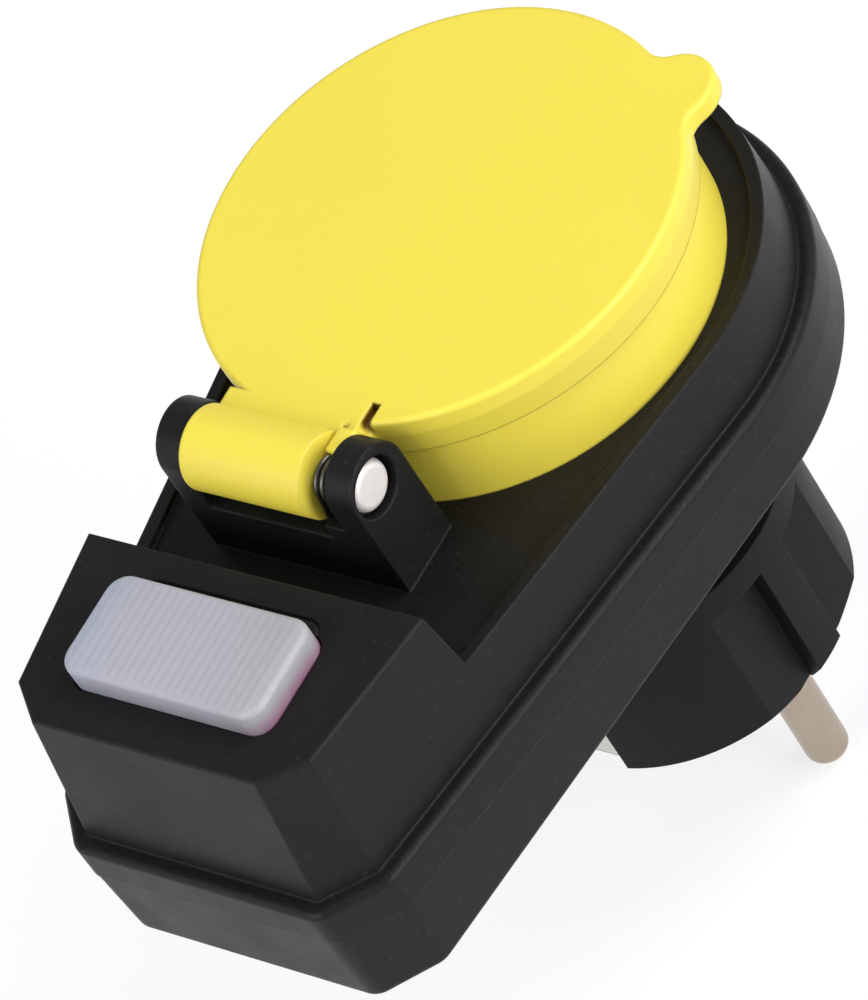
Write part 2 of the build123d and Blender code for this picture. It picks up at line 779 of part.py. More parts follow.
with BuildPart() as switch_frame:
    extrude(block(frame_low, switch_length, switch_width, switch_y), amount=switch_depth)
    extrude(block(frame_top, *brim_size, switch_y, 0, boot_round + boot_brim), amount=-switch_flange)
    inner = (switch_length - 2 * switch_wall, switch_width - 2 * switch_wall)
    extrude(block(frame_low + switch_floor, *inner, switch_y), amount=far, mode=Mode.SUBTRACT)
    with BuildSketch(Plane.XZ.offset(-switch_y)):
        with Locations((0, pivot_z)):
            Circle(trunnion_dia / 2 + pin_clearance)
    extrude(amount=switch_width / 2, both=True, mode=Mode.SUBTRACT)
    for x, y in terminal_places:
        slot = block(frame_low, terminal_width, terminal_thickness, y, x)
        extrude(slot, amount=switch_floor, mode=Mode.SUBTRACT)


rocker_half = rocker_length / 2
tilt = radians(rocker_tilt)
rest_plane = Plane((0, switch_y, pivot_z), x_dir=(cos(tilt), 0, sin(tilt)), z_dir=(0, -1, 0))

with BuildPart() as switch_rocker:
    with BuildSketch(rest_plane):
        with BuildLine():
            Polyline(
                (-rocker_half, rocker_rise),
                (rocker_half, rocker_rise),
                (rocker_half, rocker_rise - rocker_lip),
                (rocker_half - rocker_step, rocker_rise - rocker_lip - rocker_step),
                (rocker_nose, -rocker_drop),
                (-rocker_nose, -rocker_drop),
                (-rocker_half + rocker_step, rocker_rise - rocker_lip - rocker_step),
                (-rocker_half, rocker_rise - rocker_lip),
                close=True,
            )
        make_face()
    extrude(amount=rocker_width / 2, both=True)
    with BuildSketch(Plane.XZ.offset(-switch_y)):
        with Locations((0, pivot_z)):
            Circle(trunnion_dia / 2)
    extrude(amount=switch_width / 2, both=True)


with BuildPart() as switch_lamp:
    lamp_z = frame_low + switch_floor + lamp_dia / 2
    with BuildSketch(Plane.YZ.offset(-lamp_length / 2)):
        with Locations((switch_y, lamp_z)):
            Circle(lamp_dia / 2)
    extrude(amount=lamp_length)
    fillet(switch_lamp.edges().filter_by(GeomType.CIRCLE), lamp_dia / 4)


with BuildPart() as switch_blades:
    for x, y in terminal_places:
        blade = block(frame_low - terminal_length, terminal_width, terminal_thickness, y, x)
        extrude(blade, amount=terminal_length + switch_floor)


pieces = {
    "front_housing": front_housing,
    "rear_housing": rear_housing,
    "housing_seal": housing_seal,
    "housing_screws": housing_screws,
    "plug_body": plug_body,
    "neutral_pin": neutral_pin,
    "live_pin": live_pin,
    "plug_earth": plug_earth,
    "socket_insert": socket_insert,
    "neutral_sleeve": neutral_sleeve,
    "live_sleeve": live_sleeve,
    "earth_clip": earth_clip,
    "contact_carrier": contact_carrier,
    "earth_link": earth_link,
    "neutral_in_strip": neutral_in_strip,
    "live_in_strip": live_in_strip,
    "neutral_out_strip": neutral_out_strip,
    "live_out_strip": live_out_strip,
    "lid": lid,
    "lid_gasket": lid_gasket,
    "hinge_pin": hinge_pin,
    "lid_spring": lid_spring,
    "switch_boot": switch_boot,
    "switch_frame": switch_frame,
    "switch_rocker": switch_rocker,
    "switch_lamp": switch_lamp,
    "switch_blades": switch_blades,
}

os.makedirs("parts", exist_ok=True)
for name, piece in pieces.items():
    piece.part.label = name
    export_step(piece.part, f"parts/{name}.step")
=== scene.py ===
import bpy
import bmesh
import json
import math
from mathutils import Matrix, Vector


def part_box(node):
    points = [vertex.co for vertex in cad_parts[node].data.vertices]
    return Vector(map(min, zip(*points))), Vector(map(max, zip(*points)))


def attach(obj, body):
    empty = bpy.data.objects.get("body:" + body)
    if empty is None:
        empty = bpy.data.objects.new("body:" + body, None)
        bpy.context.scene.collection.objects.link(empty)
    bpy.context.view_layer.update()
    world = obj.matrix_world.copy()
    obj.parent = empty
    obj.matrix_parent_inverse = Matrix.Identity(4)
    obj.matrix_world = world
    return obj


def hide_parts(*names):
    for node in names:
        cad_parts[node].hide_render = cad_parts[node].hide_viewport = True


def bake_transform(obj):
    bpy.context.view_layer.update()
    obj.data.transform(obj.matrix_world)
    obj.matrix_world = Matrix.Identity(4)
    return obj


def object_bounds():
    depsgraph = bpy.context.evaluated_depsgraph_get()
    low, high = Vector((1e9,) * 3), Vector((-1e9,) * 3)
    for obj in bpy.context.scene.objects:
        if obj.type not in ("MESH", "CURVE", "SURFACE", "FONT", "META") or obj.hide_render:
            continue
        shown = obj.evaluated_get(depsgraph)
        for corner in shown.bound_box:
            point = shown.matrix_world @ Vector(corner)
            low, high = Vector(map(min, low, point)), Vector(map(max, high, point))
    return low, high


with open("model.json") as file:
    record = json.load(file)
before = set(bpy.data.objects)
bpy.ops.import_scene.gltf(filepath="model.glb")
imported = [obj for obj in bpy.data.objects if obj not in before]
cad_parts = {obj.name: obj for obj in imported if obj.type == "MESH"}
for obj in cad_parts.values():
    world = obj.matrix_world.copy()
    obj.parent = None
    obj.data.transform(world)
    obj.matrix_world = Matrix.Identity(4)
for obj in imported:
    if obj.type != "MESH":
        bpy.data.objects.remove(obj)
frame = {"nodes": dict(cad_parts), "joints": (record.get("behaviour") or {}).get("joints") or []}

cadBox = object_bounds()
mm = 0.001
hair = 1e-6              # metres: a point this near to a level lies on it
weld = 1e-7              # metres: points this near to each other are one
lidAboveHinge = 1.9 * mm  # from the hinge's middle to the lid's top face


def jointPlace(name):
    return Vector(next(joint for joint in frame["joints"] if joint["name"] == name)["pos_m"])


print("stage: view and light")

viewSettings = {
    "place": (0.3670, -0.2515, 0.4756),      # metres, from the plug's end face
    "turn": (39.85, 23.54, 31.82),           # degrees about X, Y, Z
    "lens": 231.7,                           # mm
    "sensor": 36.0,                          # mm
    "clip": (0.01, 100.0),
}


def makeCamera(values):
    data = bpy.data.cameras.new("viewCamera")
    data.lens = values["lens"]
    data.sensor_width = values["sensor"]
    data.clip_start, data.clip_end = values["clip"]
    camera = bpy.data.objects.new("viewCamera", data)
    camera.location = values["place"]
    camera.rotation_euler = [math.radians(angle) for angle in values["turn"]]
    bpy.context.collection.objects.link(camera)
    bpy.context.scene.camera = camera


makeCamera(viewSettings)

studio = {
    "floorDrop": 0.2 * mm,                   # the floor lies just under the pin tips
    "floorSize": 40.0,                       # metres
    "floorColor": (0.34, 0.34, 0.34),
    "floorShade": 0.985,                     # its faint clouds are this much of the colour
    "floorCloud": 3.0,
    "floorRough": 0.9,
    "floorGloss": 0.1,
    "worldColor": (1.0, 1.0, 1.0),
    "worldStrength": 0.355,
    "floorGlow": 0.69,                       # what camera and mirror rays see on top of the lit floor
}

lamps = {
    "keySoftbox": {
        "place": (0.50, 0.55, 0.85), "aim": (0.0, -0.01, 0.04), "size": 0.60, "power": 5.3,
        "tint": (1.0, 0.995, 0.98),
    },
    "frontSoftbox": {
        "place": (-0.20, -0.85, 0.50), "aim": (0.0, -0.02, 0.04), "size": 0.70, "power": 5.6,
        "tint": (0.99, 0.995, 1.0),
    },
    "sideSoftbox": {
        "place": (0.88, 0.05, 0.36), "aim": (0.0, -0.01, 0.04), "size": 0.60, "power": 5.6,
        "tint": (1.0, 1.0, 1.0),
    },
}


def makeLamp(name, values):
    data = bpy.data.lights.new(name, "AREA")
    data.shape = "DISK"
    data.size = values["size"]
    data.energy = values["power"]
    data.color = values["tint"]
    lamp = bpy.data.objects.new(name, data)
    lamp.location = values["place"]
    towards = Vector(values["aim"]) - Vector(values["place"])
    lamp.rotation_euler = towards.to_track_quat("-Z", "Y").to_euler()
    bpy.context.collection.objects.link(lamp)


for lampName, lampValues in lamps.items():
    makeLamp(lampName, lampValues)


def opaque(color):
    return (*color, 1.0)


def makeWorld(values):
    world = bpy.data.worlds.new("studioWorld")
    world.use_nodes = True
    background = world.node_tree.nodes["Background"]
    background.inputs["Color"].default_value = opaque(values["worldColor"])
    background.inputs["Strength"].default_value = values["worldStrength"]
    bpy.context.scene.world = world


makeWorld(studio)
bpy.context.scene.view_settings.view_transform = "Standard"


print("stage: shader groups")

noiseCore = (0.3, 0.7)   # nearly all of a noise lies between these


class Wires:
    # A short way to add nodes to one tree and to join them

    def __init__(self, tree):
        self.tree = tree

    def add(self, kind, settings=None, **values):
        node = self.tree.nodes.new(kind)
        for key, value in (settings or {}).items():
            setattr(node, key, value)
        for key, value in values.items():
            self.feed(node, key.replace("_", " "), value)
        return node

    def feed(self, node, socket, value):
        target = node.inputs[socket]
        if isinstance(value, bpy.types.NodeSocket):
            self.tree.links.new(value, target)
        else:
            target.default_value = value

    def maths(self, operation, first, second=0.0):
        node = self.add("ShaderNodeMath", {"operation": operation})
        self.feed(node, 0, first)
        self.feed(node, 1, second)
        return node.outputs[0]

    def times(self, *factors):
        product = factors[0]
        for factor in factors[1:]:
            product = self.maths("MULTIPLY", product, factor)
        return product

    def ramp(self, value, low, high, fromValue=0.0, toValue=1.0):
        node = self.add("ShaderNodeMapRange", {"clamp": True})
        for socket, number in enumerate((value, low, high, fromValue, toValue)):
            self.feed(node, socket, number)
        return node.outputs[0]

    def around(self, value, middle, spread):
        # Turns a noise into a value that varies evenly about its middle
        return self.ramp(value, *noiseCore, middle - spread, middle + spread)

    def mix(self, factor, first, second):
        # The colour sockets of the node are numbers 6 and 7, and 2 on its way out
        node = self.add("ShaderNodeMix", {"data_type": "RGBA"})
        for socket, value in ((0, factor), (6, first), (7, second)):
            self.feed(node, socket, opaque(value) if isinstance(value, tuple) else value)
        return node.outputs[2]


def makeGroup(name, inputs, outputs):
    tree = bpy.data.node_groups.new(name, "ShaderNodeTree")
    for socketName, (kind, value) in inputs.items():
        socket = tree.interface.new_socket(socketName, in_out="INPUT", socket_type=kind)
        socket.default_value = value
    for socketName, kind in outputs.items():
        tree.interface.new_socket(socketName, in_out="OUTPUT", socket_type=kind)
    return tree, Wires(tree), tree.nodes.new("NodeGroupInput"), tree.nodes.new("NodeGroupOutput")


grainValues = {
    "scale": 3000.0, "patchScale": 120.0, "fineDetail": 2.0, "fineRough": 0.6, "patchDetail": 4.0,
    "pitEdge": 0.7, "pitFloor": 0.55,        # how far a pit reaches, and how much of the height it keeps
    "speckScale": 0.5, "speckDetail": 1.0, "speckFrom": 0.66, "speckTo": 0.74,
}


def makeGrainGroup(values):
    # The fine spark-eroded skin of a moulding: many small pits, with broad uneven patches
    tree, wires, given, out = makeGroup(
        "mouldGrain",
        {
            "Scale": ("NodeSocketFloat", values["scale"]),
            "Patch Scale": ("NodeSocketFloat", values["patchScale"]),
        },
        {"Height": "NodeSocketFloat", "Patch": "NodeSocketFloat", "Speck": "NodeSocketFloat"},
    )
    place = wires.add("ShaderNodeTexCoord").outputs["Object"]
    scale, patchScale = given.outputs["Scale"], given.outputs["Patch Scale"]
    fine = wires.add("ShaderNodeTexNoise", Vector=place, Scale=scale, Detail=values["fineDetail"],
                     Roughness=values["fineRough"])
    cells = wires.add("ShaderNodeTexVoronoi", Vector=place, Scale=scale)
    pits = wires.ramp(cells.outputs["Distance"], 0.0, values["pitEdge"], values["pitFloor"], 1.0)
    patch = wires.add("ShaderNodeTexNoise", Vector=place, Scale=patchScale, Detail=values["patchDetail"])
    speck = wires.add("ShaderNodeTexNoise", Vector=place, Scale=wires.times(scale, values["speckScale"]),
                      Detail=values["speckDetail"])
    wires.feed(out, "Height", wires.times(fine.outputs["Fac"], pits))
    wires.feed(out, "Patch", patch.outputs["Fac"])
    wires.feed(out, "Speck", wires.ramp(speck.outputs["Fac"], values["speckFrom"], values["speckTo"]))
    return tree


edgeValues = {
    "radius": 0.4 * mm, "scale": 300.0, "samples": 6, "breakDetail": 3.0,
    "facing": (0.995, 0.80),                 # cosines of the turn at which an edge begins and is full
    "breaks": (0.35, 0.65, 0.35, 1.0),       # noise from and to, and the share of the edge left there
}


def makeEdgeGroup(values):
    # How near a point is to an edge, and the normal of a softly rounded edge
    tree, wires, given, out = makeGroup(
        "softEdge",
        {
            "Radius": ("NodeSocketFloat", values["radius"]),
            "Scale": ("NodeSocketFloat", values["scale"]),
        },
        {"Edge": "NodeSocketFloat", "Normal": "NodeSocketVector"},
    )
    bevel = wires.add("ShaderNodeBevel", {"samples": values["samples"]}, Radius=given.outputs["Radius"])
    flat = wires.add("ShaderNodeNewGeometry").outputs["True Normal"]
    facing = wires.add("ShaderNodeVectorMath", {"operation": "DOT_PRODUCT"})
    wires.feed(facing, 0, bevel.outputs["Normal"])
    wires.feed(facing, 1, flat)
    near = wires.ramp(facing.outputs["Value"], *values["facing"])
    place = wires.add("ShaderNodeTexCoord").outputs["Object"]
    rubbed = wires.add("ShaderNodeTexNoise", Vector=place, Scale=given.outputs["Scale"],
                       Detail=values["breakDetail"])
    wires.feed(out, "Edge", wires.times(near, wires.ramp(rubbed.outputs["Fac"], *values["breaks"])))
    wires.feed(out, "Normal", bevel.outputs["Normal"])
    return tree


grainGroup = makeGrainGroup(grainValues)
edgeGroup = makeEdgeGroup(edgeValues)


print("stage: materials")


def startMaterial(name):
    material = bpy.data.materials.new(name)
    material.use_nodes = True
    wires = Wires(material.node_tree)
    shader = material.node_tree.nodes["Principled BSDF"]
    return material, wires, shader


def addGroup(wires, tree, **values):
    return wires.add("ShaderNodeGroup", {"node_tree": tree}, **values)


def mouldedPlastic(name, values):
    # Plain moulded plastic: grain, uneven gloss, paler rubbed edges and a few light specks
    material, wires, shader = startMaterial(name)
    grain = addGroup(wires, grainGroup, Scale=values["grain"], Patch_Scale=values["patch"])
    edge = addGroup(wires, edgeGroup, Radius=values["edgeRadius"], Scale=values["edgeBreak"])
    color = wires.mix(grain.outputs["Patch"], values["dark"], values["light"])
    color = wires.mix(wires.times(edge.outputs["Edge"], values["edgeMix"]), color, values["edge"])
    color = wires.mix(wires.times(grain.outputs["Speck"], values["speckMix"]), color, values["speck"])
    wires.feed(shader, "Base Color", color)
    rough = wires.around(grain.outputs["Patch"], values["rough"], values["roughSpread"])
    wires.feed(shader, "Roughness", rough)
    bump = wires.add("ShaderNodeBump", Strength=values["bump"], Distance=values["bumpDepth"],
                     Height=grain.outputs["Height"], Normal=edge.outputs["Normal"])
    wires.feed(shader, "Normal", bump.outputs["Normal"])
    shader.inputs["IOR"].default_value = values["ior"]
    shader.inputs["Specular IOR Level"].default_value = values["gloss"]
    return material


blackShell = mouldedPlastic("blackShell", {
    "dark": (0.0092, 0.0092, 0.0092), "light": (0.0135, 0.0135, 0.0135), "edge": (0.045, 0.045, 0.045),
    "edgeMix": 0.5, "edgeRadius": 0.4 * mm, "edgeBreak": 900.0, "speck": (0.06, 0.057, 0.05), "speckMix": 0.2,
    "grain": 3600.0, "patch": 160.0, "rough": 0.42, "roughSpread": 0.05, "bump": 0.3, "bumpDepth": 0.08 * mm,
    "ior": 1.45, "gloss": 0.19,
})
blackPlug = mouldedPlastic("blackPlug", {
    "dark": (0.0110, 0.0110, 0.0110), "light": (0.0155, 0.0155, 0.0155), "edge": (0.035, 0.035, 0.035),
    "edgeMix": 0.4, "edgeRadius": 0.3 * mm, "edgeBreak": 900.0, "speck": (0.04, 0.04, 0.04), "speckMix": 0.15,
    "grain": 2600.0, "patch": 140.0, "rough": 0.5, "roughSpread": 0.04, "bump": 0.25, "bumpDepth": 0.06 * mm,
    "ior": 1.45, "gloss": 0.1,
})
yellowPlastic = mouldedPlastic("yellowPlastic", {
    "dark": (0.88, 0.725, 0.072), "light": (0.92, 0.775, 0.088), "edge": (0.97, 0.87, 0.26),
    "edgeMix": 0.45, "edgeRadius": 0.4 * mm, "edgeBreak": 500.0, "speck": (0.82, 0.70, 0.16), "speckMix": 0.2,
    "grain": 2200.0, "patch": 60.0, "rough": 0.40, "roughSpread": 0.03, "bump": 0.08, "bumpDepth": 0.04 * mm,
    "ior": 1.48, "gloss": 0.5,
})
redRocker = mouldedPlastic("redRocker", {
    "dark": (0.45, 0.012, 0.02), "light": (0.62, 0.03, 0.04), "edge": (0.8, 0.1, 0.1),
    "edgeMix": 0.5, "edgeRadius": 0.2 * mm, "edgeBreak": 900.0, "speck": (0.7, 0.2, 0.2), "speckMix": 0.1,
    "grain": 2000.0, "patch": 200.0, "rough": 0.3, "roughSpread": 0.04, "bump": 0.05, "bumpDepth": 0.03 * mm,
    "ior": 1.5, "gloss": 0.5,
})
switchBlack = mouldedPlastic("switchBlack", {
    "dark": (0.02, 0.02, 0.02), "light": (0.03, 0.03, 0.03), "edge": (0.08, 0.08, 0.08),
    "edgeMix": 0.5, "edgeRadius": 0.2 * mm, "edgeBreak": 900.0, "speck": (0.1, 0.1, 0.1), "speckMix": 0.2,
    "grain": 2500.0, "patch": 200.0, "rough": 0.5, "roughSpread": 0.04, "bump": 0.2, "bumpDepth": 0.04 * mm,
    "ior": 1.48, "gloss": 0.5,
})
whiteCarrier = mouldedPlastic("whiteCarrier", {
    "dark": (0.74, 0.73, 0.69), "light": (0.80, 0.79, 0.75), "edge": (0.86, 0.85, 0.82),
    "edgeMix": 0.5, "edgeRadius": 0.2 * mm, "edgeBreak": 700.0, "speck": (0.6, 0.58, 0.54), "speckMix": 0.2,
    "grain": 2000.0, "patch": 150.0, "rough": 0.5, "roughSpread": 0.04, "bump": 0.1, "bumpDepth": 0.04 * mm,
    "ior": 1.48, "gloss": 0.5,
})
greySeal = mouldedPlastic("greySeal", {
    "dark": (0.10, 0.10, 0.105), "light": (0.16, 0.16, 0.165), "edge": (0.2, 0.2, 0.2),
    "edgeMix": 0.3, "edgeRadius": 0.2 * mm, "edgeBreak": 900.0, "speck": (0.05, 0.05, 0.05), "speckMix": 0.6,
    "grain": 3200.0, "patch": 400.0, "rough": 0.85, "roughSpread": 0.05, "bump": 0.6, "bumpDepth": 0.1 * mm,
    "ior": 1.4, "gloss": 0.4,
})

# The lid gets its own copy of the yellow, which carries painted shade in the spring's slot
lidPlastic = yellowPlastic.copy()
lidPlastic.name = "lidPlastic"
paintedSlotShade = {
    "color": (0.17, 0.075, 0.004),
    "inward": 0.3 * mm,                      # from the spring's outer end to the middle of the slot
    "halfWidth": 0.8 * mm, "halfCore": 0.64 * mm,
    "front": 4.9 * mm, "back": 8.4 * mm,     # behind the hinge
    "fade": 0.6 * mm,
    "depth": 0.4 * mm,                       # under the lid's top, where the painted shade is full
    "floor": 0.6 * mm, "floorFade": 0.2 * mm,                     # above the hinge
}


def paintSlotShade(material, values):
    # Painted shade: colours the inside of the spring's slot in the lid dark brown, as if in deep shadow
    wires = Wires(material.node_tree)
    shader = material.node_tree.nodes["Principled BSDF"]
    unshaded = shader.inputs["Base Color"].links[0].from_socket
    place = wires.add("ShaderNodeTexCoord").outputs["Object"]
    parts = wires.add("ShaderNodeSeparateXYZ", Vector=place).outputs
    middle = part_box("lid_spring")[1][0] - values["inward"]
    hinge = jointPlace("lid_hinge")
    front, back = hinge.y + values["front"], hinge.y + values["back"]
    top, floor = hinge.z + lidAboveHinge, hinge.z + values["floor"]
    aside = wires.maths("ABSOLUTE", wires.maths("SUBTRACT", parts["X"], middle))
    share = wires.times(
        wires.ramp(aside, values["halfWidth"], values["halfCore"]),
        wires.ramp(parts["Y"], back + values["fade"], back),
        wires.ramp(parts["Y"], front, front + values["fade"]),
        wires.ramp(parts["Z"], top, top - values["depth"]),
        wires.ramp(parts["Z"], floor - values["floorFade"], floor),
    )
    # Painted shade: the lid's yellow turns dark brown inside the slot
    wires.feed(shader, "Base Color", wires.mix(share, unshaded, values["color"]))


paintSlotShade(lidPlastic, paintedSlotShade)

metalGrain = {"scratchDetail": 3.0, "bumpDepth": 0.03 * mm, "edgeRadius": 0.15 * mm, "edgeBreak": 900.0}


def metal(name, values):
    # Bare or plated metal: fine scratches along one direction, and duller patches
    material, wires, shader = startMaterial(name)
    place = wires.add("ShaderNodeTexCoord").outputs["Object"]
    stretched = wires.add("ShaderNodeMapping", Vector=place, Scale=values["stretch"])
    scratch = wires.add("ShaderNodeTexNoise", Vector=stretched.outputs["Vector"], Scale=values["scratch"],
                        Detail=metalGrain["scratchDetail"]).outputs["Fac"]
    grain = addGroup(wires, grainGroup, Scale=values["scratch"], Patch_Scale=values["patch"])
    edge = addGroup(wires, edgeGroup, Radius=metalGrain["edgeRadius"], Scale=metalGrain["edgeBreak"])
    wires.feed(shader, "Base Color", wires.mix(grain.outputs["Patch"], values["dark"], values["light"]))
    rough = wires.around(scratch, values["rough"], values["roughSpread"])
    wires.feed(shader, "Roughness", rough)
    shader.inputs["Metallic"].default_value = values["metallic"]
    bump = wires.add("ShaderNodeBump", Strength=values["bump"], Distance=metalGrain["bumpDepth"],
                     Height=scratch, Normal=edge.outputs["Normal"])
    wires.feed(shader, "Normal", bump.outputs["Normal"])
    return material


nickelPin = metal("nickelPin", {
    "dark": (0.37, 0.30, 0.235), "light": (0.47, 0.40, 0.33), "stretch": (1.0, 1.0, 8.0), "scratch": 900.0,
    "patch": 300.0, "rough": 0.28, "roughSpread": 0.08, "bump": 0.15, "metallic": 1.0,
})
pinHead = metal("pinHead", {
    "dark": (0.83, 0.79, 0.78), "light": (0.92, 0.88, 0.87), "stretch": (3.0, 1.0, 1.0), "scratch": 1400.0,
    "patch": 700.0, "rough": 0.5, "roughSpread": 0.06, "bump": 0.15, "metallic": 0.35,
})
tinnedMetal = metal("tinnedMetal", {
    "dark": (0.55, 0.54, 0.52), "light": (0.68, 0.67, 0.64), "stretch": (1.0, 6.0, 1.0), "scratch": 800.0,
    "patch": 250.0, "rough": 0.32, "roughSpread": 0.08, "bump": 0.15, "metallic": 1.0,
})
stampedBrass = metal("stampedBrass", {
    "dark": (0.66, 0.46, 0.18), "light": (0.80, 0.60, 0.28), "stretch": (1.0, 6.0, 1.0), "scratch": 800.0,
    "patch": 250.0, "rough": 0.3, "roughSpread": 0.08, "bump": 0.15, "metallic": 1.0,
})
zincScrew = metal("zincScrew", {
    "dark": (0.50, 0.50, 0.48), "light": (0.66, 0.66, 0.63), "stretch": (1.0, 1.0, 4.0), "scratch": 1200.0,
    "patch": 500.0, "rough": 0.38, "roughSpread": 0.1, "bump": 0.2, "metallic": 1.0,
})
springWire = metal("springWire", {
    "dark": (0.10, 0.10, 0.10), "light": (0.18, 0.18, 0.18), "stretch": (1.0, 1.0, 1.0), "scratch": 1500.0,
    "patch": 500.0, "rough": 0.35, "roughSpread": 0.08, "bump": 0.1, "metallic": 1.0,
})


bootSkin = {
    "left": (0.38, 0.415, 0.50), "middle": (0.445, 0.43, 0.495), "right": (0.42, 0.41, 0.45),
    "pink": (0.42, 0.11, 0.26), "pinkMix": 0.85,
    "leftEnds": 0.35, "rightFull": 0.8, "pinkFrom": 0.72,          # shares of the half length
    "pinkTop": 1.2 * mm, "pinkFull": 3.4 * mm,                     # below the top
    "cloud": 260.0, "cloudDetail": 3.0, "cloudDrift": 10.0 * mm,
    "grain": 2400.0, "patch": 240.0, "rough": 0.45, "roughSpread": 0.05, "bump": 0.1, "bumpDepth": 0.05 * mm,
    "milk": 0.35, "milkReach": (1.2, 0.9, 1.1), "milkScale": 2.0 * mm,
}


def makeBootMaterial(values, low, high):
    # Milky skin: bluish at its left end, with painted pink low down at the right for the red rocker's light
    # showing through
    material, wires, shader = startMaterial("milkyBoot")
    place = wires.add("ShaderNodeTexCoord").outputs["Object"]
    parts = wires.add("ShaderNodeSeparateXYZ", Vector=place).outputs
    cloud = wires.add("ShaderNodeTexNoise", Vector=place, Scale=values["cloud"], Detail=values["cloudDetail"])
    grain = addGroup(wires, grainGroup, Scale=values["grain"], Patch_Scale=values["patch"])
    drift = wires.times(wires.maths("SUBTRACT", cloud.outputs["Fac"], 0.5), values["cloudDrift"])
    along = wires.maths("ADD", parts["X"], drift)
    color = wires.mix(wires.ramp(along, low.x, low.x * values["leftEnds"]), values["left"], values["middle"])
    color = wires.mix(wires.ramp(along, 0.0, high.x * values["rightFull"]), color, values["right"])
    # Painted light: pink where the red rocker would shine through the milky skin, low down at the right end
    lowDown = wires.ramp(parts["Z"], high.z - values["pinkTop"], high.z - values["pinkFull"])
    rightEnd = wires.ramp(along, high.x * values["pinkFrom"], high.x)
    color = wires.mix(wires.times(lowDown, rightEnd, values["pinkMix"]), color, values["pink"])
    wires.feed(shader, "Base Color", color)
    rough = wires.around(grain.outputs["Patch"], values["rough"], values["roughSpread"])
    wires.feed(shader, "Roughness", rough)
    bump = wires.add("ShaderNodeBump", Strength=values["bump"], Distance=values["bumpDepth"],
                     Height=grain.outputs["Height"])
    wires.feed(shader, "Normal", bump.outputs["Normal"])
    shader.inputs["Subsurface Weight"].default_value = values["milk"]
    shader.inputs["Subsurface Radius"].default_value = values["milkReach"]
    shader.inputs["Subsurface Scale"].default_value = values["milkScale"]
    return material


lampGlassValues = {
    "dark": (0.95, 0.5, 0.3), "light": (0.98, 0.62, 0.42), "grain": 900.0, "patch": 200.0,
    "rough": 0.085, "roughSpread": 0.035, "clear": 0.6,
}


def makeLampGlass(values):
    material, wires, shader = startMaterial("lampGlass")
    grain = addGroup(wires, grainGroup, Scale=values["grain"], Patch_Scale=values["patch"])
    wires.feed(shader, "Base Color", wires.mix(grain.outputs["Patch"], values["dark"], values["light"]))
    rough = wires.around(grain.outputs["Patch"], values["rough"], values["roughSpread"])
    wires.feed(shader, "Roughness", rough)
    shader.inputs["Transmission Weight"].default_value = values["clear"]
    return material


lampGlass = makeLampGlass(lampGlassValues)

nodeFinish = {
    "front_housing": blackShell, "rear_housing": blackShell, "plug_body": blackPlug,
    "socket_insert": yellowPlastic, "lid": lidPlastic,
    "housing_seal": greySeal, "lid_gasket": greySeal,
    "housing_screws": zincScrew, "hinge_pin": pinHead,
    "neutral_pin": nickelPin, "live_pin": nickelPin,
    "plug_earth": tinnedMetal, "earth_clip": tinnedMetal, "earth_link": tinnedMetal,
    "switch_blades": tinnedMetal,
    "contact_carrier": whiteCarrier,
    "neutral_sleeve": stampedBrass, "live_sleeve": stampedBrass,
    "neutral_in_strip": stampedBrass, "live_in_strip": stampedBrass,
    "neutral_out_strip": stampedBrass, "live_out_strip": stampedBrass,
    "lid_spring": springWire, "switch_boot": whiteCarrier, "switch_frame": switchBlack,
    "switch_rocker": redRocker, "switch_lamp": lampGlass,
}


def dress(node, material):
    mesh = frame["nodes"][node].data
    mesh.materials.clear()
    mesh.materials.append(material)


for nodeName, nodeMaterial in nodeFinish.items():
    dress(nodeName, nodeMaterial)


print("stage: new pieces")


def placeMesh(name, mesh, material):
    # Puts a mesh in the scene, at the origin
    data = bpy.data.meshes.new(name)
    mesh.to_mesh(data)
    mesh.free()
    data.materials.append(material)
    piece = bpy.data.objects.new(name, data)
    bpy.context.collection.objects.link(piece)
    return piece


def finishPiece(name, mesh, material):
    # Cleans a new piece's mesh, places it with its material and shades it smooth
    bmesh.ops.remove_doubles(mesh, verts=mesh.verts, dist=weld)
    bmesh.ops.recalc_face_normals(mesh, faces=mesh.faces)
    piece = placeMesh(name, mesh, material)
    for face in piece.data.polygons:
        face.use_smooth = True
    return piece


def addBox(mesh, low, high):
    made = bmesh.ops.create_cube(mesh, size=1.0)["verts"]
    place = Matrix.Translation((low + high) / 2) @ Matrix.Diagonal((*(high - low), 1.0))
    bmesh.ops.transform(mesh, matrix=place, verts=made)


def bevelEdges(mesh, edges, radius, segments):
    bmesh.ops.bevel(mesh, geom=edges, offset=radius, offset_type="OFFSET", segments=segments, profile=0.5,
                    affect="EDGES", material=-1, clamp_overlap=True)


def isVert(item):
    return isinstance(item, bmesh.types.BMVert)


def isEdge(item):
    return isinstance(item, bmesh.types.BMEdge)


boot = {
    "cornerRadius": 2.2 * mm, "cornerSteps": 6, "topRadius": 0.7 * mm, "topSteps": 5,
    "ribCount": 22, "ribRise": 0.075 * mm, "ribMargin": 1.0 * mm, "cutsPerRib": 4,
    "brim": 0.8 * mm, "brimThickness": 0.9 * mm,
}


